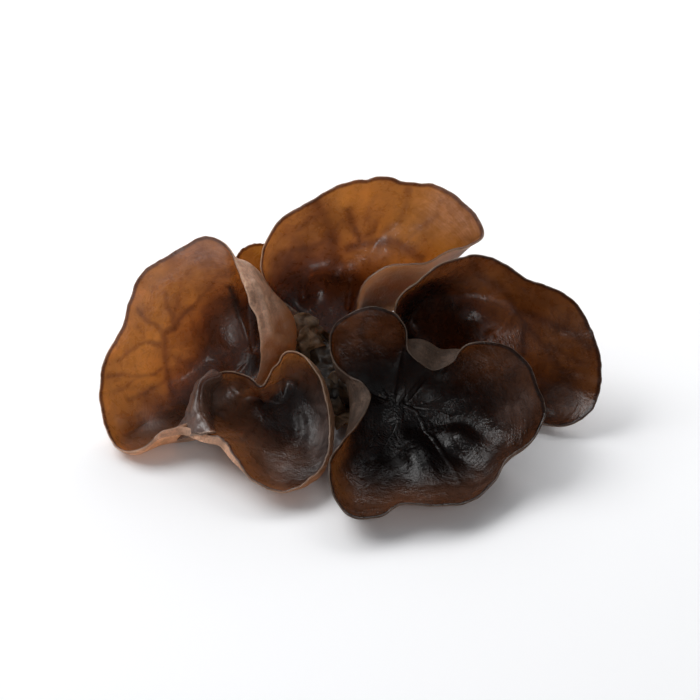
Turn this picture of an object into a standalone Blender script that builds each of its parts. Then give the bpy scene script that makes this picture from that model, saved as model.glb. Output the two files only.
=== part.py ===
"""Wood ear mushroom: six thin, cupped ears that grow from one base.

A script for Blender 4.5, in metres with +Z up. X runs to the right across the
cluster, and Y runs from the lowest ears in front to the tallest one behind.
The origin is the middle of the flat cut where the base left its wood.

Each ear is a sheet of even thickness. Its rim is a closed curve through a few
stations, and curved spokes join the rim to the middle of the cup.
"""
import math

import bmesh
import bpy
import numpy as np
from mathutils import Vector
from mathutils.bvhtree import BVHTree

MM = 0.001

# Flesh, in millimetres.
FLESH_THICKNESS = 1.2
RESTING_HEIGHT = 0.75       # lowest height of the middle of the flesh above the table
RESTING_SOFTNESS = 1.2      # how gently the flesh flattens where it meets the table

# Shape of a spoke, as shares of the straight line from the middle to the rim.
FLOOR_REACH = 0.42          # how far the floor of the cup stays level
WALL_REACH = 0.42           # how far the wall keeps the direction that it has at the rim
SWELL_AT_FLOOR = 0.6        # share of a station's swell that the floor also gets
RIM_PACING = 0.75           # below 1, the rim curve slows down at close stations

SPOKES_PER_STATION = 2
RINGS = 8

# Base, in millimetres.
BASE_HEART = (1.0, 3.0, 6.0)
BASE_FOOT_RADIUS = 8.0
BASE_GAP = 0.7              # what the base keeps clear of every ear
BASE_LIFT = 1.0             # lowest height of the sides of the base above the cut
BASE_STEP = 0.4
BASE_MERIDIANS = 36
BASE_LATITUDES = (-25, -8, 8, 22, 36, 50, 64, 78)
BASE_REACH_LOW = 21.0
BASE_REACH_TOP = 9.0

# A station is (x, y, z, lean) or (x, y, z, lean, swell x, swell y, swell z), in
# millimetres and degrees. Lean 0 ends the wall along the way the cup opens, 90
# flares it straight outward, and less than 0 curls it back over the hollow.
# The swell pushes the middle of the wall outward beyond the rim.
# A bump is (from, to, radius, height), raised on the inner side of the cup.
EARS = {
    "front_right_ear": {
        "colour": (0.045, 0.020, 0.010),
        "centre": (14.5, -13, 7),
        "opens": (0.05, -0.5, 0.86),
        "rim": [
            (9, -8, 33, 30), (13, -9, 32.5, 20), (16, -10, 29.5, 0, 0, 1, 3),
            (17.5, -12, 23.5, -30, 0, 3, 7), (20, -14, 21.5, -60, 0, 4, 9),
            (23.5, -15, 20, -70, 0, 4, 9), (27.5, -15, 22, -60, 0, 4, 7),
            (31.5, -14, 25.5, -10, 0, 1, 3), (38, -15, 27, 30), (44, -18, 25.5, 35),
            (48, -24, 21, 35), (49.5, -29, 16, 35), (46.5, -34, 12.5, 15), (40, -38, 9.5, 0),
            (37, -44, 7, 20), (32, -50, 6, 30), (24, -53, 6.5, 35), (14.5, -53, 7, 25),
            (9.5, -56, 6, 35), (3.5, -56, 6, 35), (-0.5, -52, 8, 30), (-1.5, -44, 11, 15),
            (1, -37, 13, 0), (5, -29, 14, -30, -3, 1, 1), (7.5, -22, 15.5, -50, -5, 3, 3),
            (6, -18, 17.5, -40, -4, 3, 3), (1.5, -14, 19, -10, -2, 1, 1),
            (-1.5, -10, 22, 15), (-1, -8, 27, 30), (3.5, -7.5, 31, 32),
        ],
        "bumps": [
            ((20.5, -29, 2), (20.5, -29, 2), 6, 3),
            ((28, -21.5, 3), (28, -21.5, 3), 4, 2),
            ((41, -31.5, 6), (31, -23, 3), 4, 2),
            ((22, -9, 14), (17, -12, 9), 3.5, 2),
            ((8, -21, 13), (13, -15, 8), 3.5, 2),
        ],
    },
    "front_left_ear": {
        "colour": (0.11, 0.050, 0.022),
        "centre": (-14, -9, 5.5),
        "opens": (-0.05, -0.55, 0.83),
        "rim": [
            (-12.5, -9, 21, 10, 0, 1, 1), (-8, -11, 20.5, -10, 1, 1, 1),
            (-3.5, -16, 16, -30, 2, 0, 0), (-1.5, -23.5, 12.5, -35, 2, 0, 0),
            (-1.5, -31, 8.5, -30, 1, 0, 0), (-4.5, -39, 6, -10), (-9, -44, 5.5, 10),
            (-14, -45, 5, 20), (-19.5, -43, 6.5, 25), (-23.5, -38, 9, 25), (-27.5, -32, 11, 25),
            (-31.5, -27, 11, 20), (-33, -20, 13, 15), (-31, -15, 16, 10), (-26, -12, 16, 0),
            (-21.5, -12, 15, -10), (-18.5, -13, 13.5, -20), (-16, -10, 17, 0),
        ],
        "bumps": [
            ((-30.5, -15, 11), (-24, -10, 10.5), 5, -2.5),
            ((-19.5, -12, 13), (-30.5, -21.5, 9), 3.5, 2),
        ],
    },
    "left_ear": {
        "colour": (0.30, 0.130, 0.035),
        "centre": (-22, 7, 8.5),
        "opens": (0.0, -0.75, 0.62),
        "rim": [
            (-28.5, 6, 43.5, 50), (-33.5, 6.5, 44.5, 62), (-40, 6, 41, 62), (-47, 4, 37.5, 60),
            (-51, 1, 32, 58), (-53.5, -2, 24.5, 55), (-58, -7, 17, 50), (-59, -11, 10.5, 45),
            (-57.5, -18, 5.5, 35), (-53, -25, 2.5, -5), (-49, -27, 4, -25, 0, -1, -1),
            (-42.5, -25, 8, -20, 0, -4, -4), (-36, -22, 8.5, -20, 0, -5, -6),
            (-32.5, -19, 6.5, -20, 0, -4, -5), (-28.5, -10, 4, -30, 0, -1, -2),
            (-23, -4.5, 6, -30), (-20, -5, 12.5, -50, 5, 1, 2), (-19, -5, 20.5, -60, 8, 0, 2),
            (-19.5, -4, 26, -60, 10, 0, 1), (-22, -2, 32, -60, 8, 0, 0),
            (-25, 3, 38, -30, 5, 1, 0),
        ],
        "bumps": [
            ((-27, 12, 15), (-27, 11, 20), 7, -1.5),
            ((-51, -15.5, 1), (-44, -9, 1), 3.5, 1.8),
        ],
    },
    "back_ear": {
        "colour": (0.24, 0.105, 0.030),
        "centre": (0, 13, 9),
        "opens": (0.1, -0.86, 0.5),
        "rim": [
            (13, 24, 52, 50), (5.5, 22, 52.5, 50), (-1, 20, 51.5, 50), (-7.5, 18.5, 48, 48),
            (-15, 16.5, 43.5, 45), (-18.5, 15, 37.5, 35), (-19.5, 14, 32, 22),
            (-16.5, 12.5, 25.5, 10), (-10.5, 10, 20.5, 0), (-5.5, 7, 17, 0), (-1.5, 5.5, 13, 0),
            (2.5, 4.5, 17, 0), (4.5, 3.5, 25.5, -10, 2, 0, -2), (7, 3, 34.5, -20, 4, -1, -3),
            (13, 4, 38, -20, 5, -1, -4), (21, 8, 36, -20, 5, -1, -4), (28, 13, 37, -20, 4, -1, -3),
            (33.5, 18, 36, -10, 2, 0, -1), (37, 22, 36.5, 20), (35, 24.5, 41, 40),
            (31, 26, 45, 50), (24.5, 26, 49, 50), (16.5, 24.5, 50.5, 45),
        ],
        "bumps": [
            ((-5, 17.5, 21), (-5, 17.5, 21), 7, -3),
            ((12, 24.5, 29.5), (12, 24.5, 29.5), 6, 2),
        ],
    },
    "right_ear": {
        "colour": (0.10, 0.042, 0.018),
        "centre": (22, 9.5, 12.5),
        "opens": (0.05, -0.85, 0.52),
        "rim": [
            (35, 9, 38, 45), (27, 4.5, 39, 32), (20, 1, 36, 18), (15, -1, 31, 8),
            (14.5, -1, 25, 0), (18, -1, 16.5, -5), (25.5, -3, 9, -5), (36, -7, 4.5, 0),
            (47, -12, 3, 5), (56, -15, 3, 20), (61.5, -14, 5.5, 40), (65, -10, 10.5, 50),
            (65, -6, 17, 50), (63, 0, 22.5, 50), (59, 5, 27, 50), (53.5, 8, 29.5, 48),
            (47.5, 9.5, 31, 45), (42, 10.5, 34.5, 45),
        ],
        "bumps": [
            ((35, 11, 19), (35, 11, 19), 8, 4.5),
            ((18.5, 8, 18.5), (22, 10, 26), 5, -2),
        ],
    },
    "small_back_ear": {
        "colour": (0.16, 0.060, 0.018),
        "centre": (-11, 16.5, 7),
        "opens": (-0.2, -0.8, 0.6),
        "rim": [
            (-25.5, 22, 31.5, 45), (-21.5, 24, 33, 45), (-17, 25.5, 31.5, 42),
            (-12.5, 25.5, 26, 35), (-10, 23, 18.5, 20), (-9.5, 19.5, 7.5, 0), (-14, 15, 6.5, 0),
            (-22.5, 17, 17, 10), (-27.5, 20, 25.5, 30),
        ],
        "bumps": [],
    },
}

BASE_COLOUR = (0.12, 0.075, 0.035)


def closed_curve(stations, count):
    """Points at even pace along a closed cubic curve through the stations."""
    points = np.asarray(stations, float)
    following = np.roll(points, -1, axis=0)
    pace = np.linalg.norm(following[:, :3] - points[:, :3], axis=1) ** RIM_PACING
    slope_after = (following - points) / pace[:, None]
    slope_before = np.roll(slope_after, 1, axis=0)
    pace_before = np.roll(pace, 1)[:, None]
    tangent = slope_after * pace_before + slope_before * pace[:, None]
    tangent /= pace_before + pace[:, None]
    knots = np.concatenate([[0.0], np.cumsum(pace)])
    along = np.arange(count) / count * knots[-1]
    start = np.clip(np.searchsorted(knots, along, side="right") - 1, 0, len(points) - 1)
    end = (start + 1) % len(points)
    span = pace[start][:, None]
    s = (along - knots[start])[:, None] / span
    from_start = (2 * s**3 - 3 * s**2 + 1) * points[start] + (s**3 - 2 * s**2 + s) * span * tangent[start]
    to_end = (3 * s**2 - 2 * s**3) * points[end] + (s**3 - s**2) * span * tangent[end]
    return from_start + to_end


def add_bump(sheet, opens, start, end, radius, height):
    """Raise the sheet along the way it opens, within a radius of the line from start to end."""
    start = np.array(start, float)
    line = np.array(end, float) - start
    length_squared = max(line @ line, 1e-9)
    share = np.clip((sheet - start) @ line / length_squared, 0.0, 1.0)
    nearest = start + share[..., None] * line
    distance_squared = ((sheet - nearest) ** 2).sum(axis=-1)
    return sheet + opens * (height * np.exp(-distance_squared / radius**2))[..., None]


def ear_sheet(ear):
    """Grid of points, rings by spokes, from the middle of the cup (row 0) to its rim."""
    stations = np.zeros((len(ear["rim"]), 7))
    for row, station in zip(stations, ear["rim"]):
        row[:len(station)] = station
    curve = closed_curve(stations, SPOKES_PER_STATION * len(stations))
    rim = curve[:, :3]
    lean = np.radians(curve[:, 3])[:, None]
    swell = curve[:, 4:7]
    centre = np.array(ear["centre"], float)
    opens = np.array(ear["opens"], float)
    opens /= np.linalg.norm(opens)

    chord = rim - centre
    length = np.linalg.norm(chord, axis=1)[:, None]
    outward = chord - (chord @ opens)[:, None] * opens
    outward /= np.linalg.norm(outward, axis=1)[:, None]
    arrival = opens * np.cos(lean) + outward * np.sin(lean)
    floor_handle = centre + FLOOR_REACH * length * outward + SWELL_AT_FLOOR * swell
    wall_handle = rim - WALL_REACH * length * arrival + swell

    u = np.linspace(0.0, 1.0, RINGS + 1)[:, None, None]
    sheet = (1 - u)**3 * centre + 3 * (1 - u)**2 * u * floor_handle
    sheet = sheet + 3 * (1 - u) * u**2 * wall_handle + u**3 * rim
    for start, end, radius, height in ear["bumps"]:
        sheet = add_bump(sheet, opens, start, end, radius, height)

    above = (sheet[..., 2] - RESTING_HEIGHT) / RESTING_SOFTNESS
    sheet[..., 2] = RESTING_HEIGHT + RESTING_SOFTNESS * np.logaddexp(0.0, above)
    return sheet * MM, opens


def make_material(name, colour, roughness):
    material = bpy.data.materials.new(name)
    material.use_nodes = True
    shader = material.node_tree.nodes["Principled BSDF"]
    shader.inputs["Base Color"].default_value = (*colour, 1.0)
    shader.inputs["Roughness"].default_value = roughness
    shader.inputs["Metallic"].default_value = 0.0
    return material


def finish_object(name, bm, collection, material):
    mesh = bpy.data.meshes.new(name)
    bm.to_mesh(mesh)
    bm.free()
    mesh.materials.append(material)
    obj = bpy.data.objects.new(name, mesh)
    collection.objects.link(obj)
    return obj


def make_ear(name, ear, collection):
    """One ear: the sheet as an open surface, thickened to both sides."""
    sheet, opens = ear_sheet(ear)
    spokes = sheet.shape[1]
    bm = bmesh.new()
    middle = bm.verts.new(sheet[0, 0])
    rings = [[bm.verts.new(point) for point in ring] for ring in sheet[1:]]
    for j in range(spokes):
        bm.faces.new((middle, rings[0][j], rings[0][(j + 1) % spokes]))
    for inner, outer in zip(rings, rings[1:]):
        for j in range(spokes):
            after = (j + 1) % spokes
            bm.faces.new((inner[j], outer[j], outer[after], inner[after]))
    bm.normal_update()
    facing = sum((face.normal * face.calc_area() for face in bm.faces), Vector())
    if facing.dot(Vector(opens)) < 0:
        bmesh.ops.reverse_faces(bm, faces=bm.faces)
    obj = finish_object(name, bm, collection, make_material(name, ear["colour"], 0.3))
    thickness = obj.modifiers.new("flesh", "SOLIDIFY")
    thickness.thickness = FLESH_THICKNESS * MM
    thickness.offset = 0.0
    return obj


def base_reach(latitude):
    """How far the base would grow from its heart at a latitude, with no ears in the way."""
    rise = max(0.0, math.sin(math.radians(latitude)))
    return BASE_REACH_LOW + (BASE_REACH_TOP - BASE_REACH_LOW) * rise


def grow(heart, direction, reach, trees):
    """Length that fits along a direction before it comes near an ear."""
    length = BASE_STEP
    while length < reach:
        tip = heart + direction * (length + BASE_STEP) * MM
        if tip.z < BASE_LIFT * MM:
            break
        if any(tree.find_nearest(tip, BASE_GAP * MM)[0] for tree in trees):
            break
        length += BASE_STEP
    return length


def make_base(ears, collection):
    """The holdfast: it fills the room between the ears and stands on a flat cut."""
    depsgraph = bpy.context.evaluated_depsgraph_get()
    trees = [BVHTree.FromObject(ear, depsgraph) for ear in ears]
    heart = Vector(BASE_HEART) * MM
    angles = [2 * math.pi * i / BASE_MERIDIANS for i in range(BASE_MERIDIANS)]
    lengths = []
    for latitude in BASE_LATITUDES:
        level = math.radians(latitude)
        row = []
        for angle in angles:
            flat = math.cos(level)
            direction = Vector((flat * math.cos(angle), flat * math.sin(angle), math.sin(level)))
            row.append(grow(heart, direction, base_reach(latitude), trees))
        lengths.append(row)

    bm = bmesh.new()
    foot = [bm.verts.new((BASE_FOOT_RADIUS * MM * math.cos(a), BASE_FOOT_RADIUS * MM * math.sin(a), 0.0))
            for a in angles]
    rings = [foot]
    for i, latitude in enumerate(BASE_LATITUDES):
        level = math.radians(latitude)
        ring = []
        for j, angle in enumerate(angles):
            around = [lengths[k][m % BASE_MERIDIANS]
                      for k in range(max(0, i - 1), min(len(lengths), i + 2))
                      for m in (j - 1, j, j + 1)]
            length = min(around) * MM
            ring.append(bm.verts.new(heart + Vector((
                length * math.cos(level) * math.cos(angle),
                length * math.cos(level) * math.sin(angle),
                length * math.sin(level)))))
        rings.append(ring)
    cut = bm.verts.new((0.0, 0.0, 0.0))
    top = bm.verts.new(heart + Vector((0.0, 0.0, min(lengths[-1]) * MM)))
    for j in range(BASE_MERIDIANS):
        after = (j + 1) % BASE_MERIDIANS
        bm.faces.new((cut, foot[after], foot[j]))
        bm.faces.new((top, rings[-1][j], rings[-1][after]))
        for lower, upper in zip(rings, rings[1:]):
            bm.faces.new((lower[j], lower[after], upper[after], upper[j]))
    return finish_object("base", bm, collection, make_material("base", BASE_COLOUR, 0.6))


def main():
    for obj in list(bpy.data.objects):
        bpy.data.objects.remove(obj)
    collection = bpy.data.collections.new("wood_ear_mushroom")
    bpy.context.scene.collection.children.link(collection)
    ears = [make_ear(name, ear, collection) for name, ear in EARS.items()]
    bpy.context.view_layer.update()
    make_base(ears, collection)


main()
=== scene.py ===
"""Wood ear mushroom: the finished look of one cluster of six ears on a cut base.

Every ear is one closed shell worked out with numpy. The middle of its flesh is
a function of two parameters, the turn round the rim and the share of the way
from the middle of the cup to the rim, and both faces stand half the thickness
off it. Lengths in the tables are in millimetres, the scene itself is in metres.
"""

import math

import bpy
import numpy as np
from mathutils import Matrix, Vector


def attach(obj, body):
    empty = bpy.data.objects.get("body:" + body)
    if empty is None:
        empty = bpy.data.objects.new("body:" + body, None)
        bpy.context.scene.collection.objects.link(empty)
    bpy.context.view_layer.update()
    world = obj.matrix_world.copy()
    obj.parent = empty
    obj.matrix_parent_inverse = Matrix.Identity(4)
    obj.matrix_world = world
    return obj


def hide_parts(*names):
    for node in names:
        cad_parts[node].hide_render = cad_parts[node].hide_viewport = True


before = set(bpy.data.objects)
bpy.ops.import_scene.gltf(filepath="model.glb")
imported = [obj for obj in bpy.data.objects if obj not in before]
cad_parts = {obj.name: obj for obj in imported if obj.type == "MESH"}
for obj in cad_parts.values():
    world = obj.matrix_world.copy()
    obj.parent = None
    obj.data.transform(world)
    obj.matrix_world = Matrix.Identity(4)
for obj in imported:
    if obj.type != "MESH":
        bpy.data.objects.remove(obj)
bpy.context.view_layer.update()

bl_info = {
    "name": "Wood Ear Mushroom",
    "version": (1, 0, 0),
    "blender": (4, 5, 0),
    "location": "View3D > Sidebar > Wood Ear",
    "description": "Builds a cluster of wood ear mushroom with wet, translucent flesh",
    "category": "Add Mesh",
}

MM = 0.001
BODY = "root"

# Shape of a spoke, as in the solids.
FLOOR_REACH = 0.42
WALL_REACH = 0.42
SWELL_AT_FLOOR = 0.6
RIM_PACING = 0.75
RESTING_HEIGHT = 0.75
RESTING_SOFTNESS = 1.2

# Share of its thickness that an ear has lost at the rim.
RIM_THINNING = 0.55

# A station is (x, y, z, lean) or (x, y, z, lean, swell x, swell y, swell z), in
# millimetres and degrees. Lean 0 ends the wall along the way the cup opens, 90
# flares it straight outward, and less than 0 curls it back over the hollow.
# The swell pushes the middle of the wall outward beyond the rim.
# A bump is (from, to, radius, height), raised on the inner side of the cup.
EARS = {
    "front_right_ear": {
        "centre": (14.5, -13, 7),
        "opens": (0.05, -0.5, 0.86),
        "rim": [
            (9, -8, 33, 30), (13, -9, 32.5, 20), (16, -10, 29.5, 0, 0, 1, 3),
            (17.5, -12, 23.5, -30, 0, 3, 7), (20, -14, 21.5, -60, 0, 4, 9),
            (23.5, -15, 20, -70, 0, 4, 9), (27.5, -15, 22, -60, 0, 4, 7),
            (31.5, -14, 25.5, -10, 0, 1, 3), (38, -15, 27, 30), (44, -18, 25.5, 35),
            (48, -24, 21, 35), (49.5, -29, 16, 35), (46.5, -34, 12.5, 15), (40, -38, 9.5, 0),
            (37, -44, 7, 20), (32, -50, 6, 30), (24, -53, 6.5, 35), (14.5, -53, 7, 25),
            (9.5, -56, 6, 35), (3.5, -56, 6, 35), (-0.5, -52, 8, 30), (-1.5, -44, 11, 15),
            (1, -37, 13, 0), (5, -29, 14, -30, -3, 1, 1), (7.5, -22, 15.5, -50, -5, 3, 3),
            (6, -18, 17.5, -40, -4, 3, 3), (1.5, -14, 19, -10, -2, 1, 1),
            (-1.5, -10, 22, 15), (-1, -8, 27, 30), (3.5, -7.5, 31, 32),
        ],
        "bumps": [
            ((20.5, -29, 2), (20.5, -29, 2), 6, 3),
            ((28, -21.5, 3), (28, -21.5, 3), 4, 2),
            ((41, -31.5, 6), (31, -23, 3), 4, 2),
            ((22, -9, 14), (17, -12, 9), 3.5, 2),
            ((8, -21, 13), (13, -15, 8), 3.5, 2),
        ],
    },
    "front_left_ear": {
        "centre": (-14, -9, 5.5),
        "opens": (-0.05, -0.55, 0.83),
        "rim": [
            (-12.5, -9, 21, 10, 0, 1, 1), (-8, -11, 20.5, -10, 1, 1, 1),
            (-3.5, -16, 16, -30, 2, 0, 0), (-1.5, -23.5, 12.5, -35, 2, 0, 0),
            (-1.5, -31, 8.5, -30, 1, 0, 0), (-4.5, -39, 6, -10), (-9, -44, 5.5, 10),
            (-14, -45, 5, 20), (-19.5, -43, 6.5, 25), (-23.5, -38, 9, 25), (-27.5, -32, 11, 25),
            (-31.5, -27, 11, 20), (-33, -20, 13, 15), (-31, -15, 16, 10), (-26, -12, 16, 0),
            (-21.5, -12, 15, -10), (-18.5, -13, 13.5, -20), (-16, -10, 17, 0),
        ],
        "bumps": [
            ((-30.5, -15, 11), (-24, -10, 10.5), 5, -2.5),
            ((-19.5, -12, 13), (-30.5, -21.5, 9), 3.5, 2),
        ],
    },
    "left_ear": {
        "centre": (-22, 7, 8.5),
        "opens": (0.0, -0.75, 0.62),
        "rim": [
            (-28.5, 6, 43.5, 50), (-33.5, 6.5, 44.5, 62), (-40, 6, 41, 62), (-47, 4, 37.5, 60),
            (-51, 1, 32, 58), (-53.5, -2, 24.5, 55), (-58, -7, 17, 50), (-59, -11, 10.5, 45),
            (-57.5, -18, 5.5, 35), (-53, -25, 2.5, -5), (-49, -27, 4, -25, 0, -1, -1),
            (-42.5, -25, 8, -20, 0, -4, -4), (-36, -22, 8.5, -20, 0, -5, -6),
            (-32.5, -19, 6.5, -20, 0, -4, -5), (-28.5, -10, 4, -30, 0, -1, -2),
            (-23, -4.5, 6, -30), (-20, -5, 12.5, -50, 5, 1, 2), (-19, -5, 20.5, -60, 8, 0, 2),
            (-19.5, -4, 26, -60, 10, 0, 1), (-22, -2, 32, -60, 8, 0, 0),
            (-25, 3, 38, -30, 5, 1, 0),
        ],
        "bumps": [
            ((-27, 12, 15), (-27, 11, 20), 7, -1.5),
            ((-51, -15.5, 1), (-44, -9, 1), 3.5, 1.8),
        ],
    },
    "back_ear": {
        "centre": (0, 13, 9),
        "opens": (0.1, -0.86, 0.5),
        "rim": [
            (13, 24, 52, 50), (5.5, 22, 52.5, 50), (-1, 20, 51.5, 50), (-7.5, 18.5, 48, 48),
            (-15, 16.5, 43.5, 45), (-18.5, 15, 37.5, 35), (-19.5, 14, 32, 22),
            (-16.5, 12.5, 25.5, 10), (-10.5, 10, 20.5, 0), (-5.5, 7, 17, 0), (-1.5, 5.5, 13, 0),
            (2.5, 4.5, 17, 0), (4.5, 3.5, 25.5, -10, 2, 0, -2), (7, 3, 34.5, -20, 4, -1, -3),
            (13, 4, 38, -20, 5, -1, -4), (21, 8, 36, -20, 5, -1, -4), (28, 13, 37, -20, 4, -1, -3),
            (33.5, 18, 36, -10, 2, 0, -1), (37, 22, 36.5, 20), (35, 24.5, 41, 40),
            (31, 26, 45, 50), (24.5, 26, 49, 50), (16.5, 24.5, 50.5, 45),
        ],
        "bumps": [
            ((-5, 17.5, 21), (-5, 17.5, 21), 7, -3),
            ((12, 24.5, 29.5), (12, 24.5, 29.5), 6, 2),
        ],
    },
    "right_ear": {
        "centre": (22, 9.5, 12.5),
        "opens": (0.05, -0.85, 0.52),
        "rim": [
            (35, 9, 38, 45), (27, 4.5, 39, 32), (20, 1, 36, 18), (15, -1, 31, 8),
            (14.5, -1, 25, 0), (18, -1, 16.5, -5), (25.5, -3, 9, -5), (36, -7, 4.5, 0),
            (47, -12, 3, 5), (56, -15, 3, 20), (61.5, -14, 5.5, 40), (65, -10, 10.5, 50),
            (65, -6, 17, 50), (63, 0, 22.5, 50), (59, 5, 27, 50), (53.5, 8, 29.5, 48),
            (47.5, 9.5, 31, 45), (42, 10.5, 34.5, 45),
        ],
        "bumps": [
            ((35, 11, 19), (35, 11, 19), 8, 4.5),
            ((18.5, 8, 18.5), (22, 10, 26), 5, -2),
        ],
    },
    "small_back_ear": {
        "centre": (-11, 16.5, 7),
        "opens": (-0.2, -0.8, 0.6),
        "rim": [
            (-25.5, 22, 31.5, 45), (-21.5, 24, 33, 45), (-17, 25.5, 31.5, 42),
            (-12.5, 25.5, 26, 35), (-10, 23, 18.5, 20), (-9.5, 19.5, 7.5, 0), (-14, 15, 6.5, 0),
            (-22.5, 17, 17, 10), (-27.5, 20, 25.5, 30),
        ],
        "bumps": [],
    },
}

# Grid of each ear: points round the rim, rings from the middle to the rim.
GRIDS = {
    "front_right_ear": (400, 104),
    "front_left_ear": (330, 92),
    "left_ear": (400, 104),
    "back_ear": (400, 104),
    "right_ear": (360, 96),
    "small_back_ear": (160, 48),
}

# Finer forms than the solids have. A route is a list of (turn in degrees, share of
# the way to the rim), and the flesh rises along it by the height, in a ridge of the
# given radius, both in millimetres. A height less than 0 makes a groove.
FOLDS = {
    "front_right_ear": [
        (0.28, 0.26, [(108, 0.03), (118, 0.10), (132, 0.14), (151, 0.22), (154, 0.31)]),
        (0.55, 0.35, [(154, 0.28), (162, 0.43), (164, 0.56), (168, 0.70)]),
        (2.2, -0.6, [(146, 0.36), (152, 0.48), (155, 0.60)]),
        (0.28, -0.13, [(90, 0.03), (55, 0.08), (40, 0.16), (36, 0.22)]),
        (0.30, -0.13, [(80, 0.04), (66, 0.16), (58, 0.28)]),
        (0.30, -0.13, [(100, 0.05), (92, 0.20), (87, 0.34)]),
        (0.30, -0.13, [(118, 0.02), (350, 0.10), (350, 0.20)]),
        (0.32, -0.13, [(131, 0.04), (205, 0.10), (219, 0.18), (224, 0.28)]),
        (0.30, -0.13, [(106, 0.06), (107, 0.24), (114, 0.34)]),
        (3.2, 1.1, [(176, 0.26), (182, 0.42), (184, 0.58)]),
        (2.2, 0.5, [(65, 0.38), (68, 0.44)]),
        (2.2, 0.6, [(237, 0.24), (237, 0.33)]),
    ],
    "front_left_ear": [
        (1.6, 0.9, [(322, 0.95), (311, 0.87), (295, 0.66), (269, 0.58), (258, 0.66)]),
        (2.6, -0.9, [(300, 0.86), (282, 0.80), (268, 0.80)]),
        (1.3, 0.5, [(77, 0.20), (102, 0.29), (124, 0.34)]),
        (4.0, -1.3, [(290, 1.0), (276, 1.0), (262, 1.0), (248, 1.0), (236, 1.0)]),
        (6.0, 1.9, [(50, 0.74), (75, 0.70), (100, 0.68), (118, 0.68)]),
        (2.0, 0.5, [(210, 0.20), (237, 0.18), (260, 0.22)]),
        (0.7, -0.7, [(326, 0.80), (341, 0.55), (0, 0.38), (12, 0.33)]),
    ],
    "left_ear": [
        (1.5, 0.8, [(144, 0.88), (148, 0.78), (153, 0.66), (163, 0.52)]),
        (2.5, -0.8, [(150, 0.90), (156, 0.82), (165, 0.72)]),
        (3.0, 1.3, [(160, 0.42), (153, 0.36), (138, 0.32), (136, 0.20)]),
        (9.0, -2.2, [(14, 0.50), (20, 0.44)]),
        (2.6, 1.1, [(225, 0.0), (238, 0.06), (243, 0.14), (246, 0.24)]),
        (0.7, -0.7, [(330, 0.92), (325, 0.90), (316, 0.93), (308, 0.95), (299, 0.93), (294, 0.81)]),
        (2.2, 0.8, [(318, 0.83), (308, 0.84), (300, 0.84)]),
    ],
    "back_ear": [
        (2.8, 0.8, [(25, 0.36), (3, 0.41), (342, 0.48), (340, 0.55), (328, 0.50), (315, 0.60)]),
        (2.2, 0.8, [(77, 0.38), (66, 0.50), (54, 0.54), (40, 0.50), (30, 0.43)]),
        (5.0, -1.5, [(54, 0.42), (50, 0.36)]),
        (0.6, 0.5, [(9, 0.36), (5, 0.28), (2, 0.20)]),
        (0.8, 0.45, [(80, 0.40), (68, 0.50), (56, 0.55), (46, 0.53), (38, 0.47)]),
    ],
    "right_ear": [
        (3.0, -1.5, [(56, 0.23), (37, 0.38), (17, 0.47), (350, 0.51), (332, 0.58), (315, 0.62),
                     (298, 0.64)]),
        (5.5, 1.2, [(319, 0.36), (325, 0.42)]),
        (1.4, -0.6, [(291, 0.55), (281, 0.45), (273, 0.36)]),
    ],
    "small_back_ear": [],
}

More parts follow.
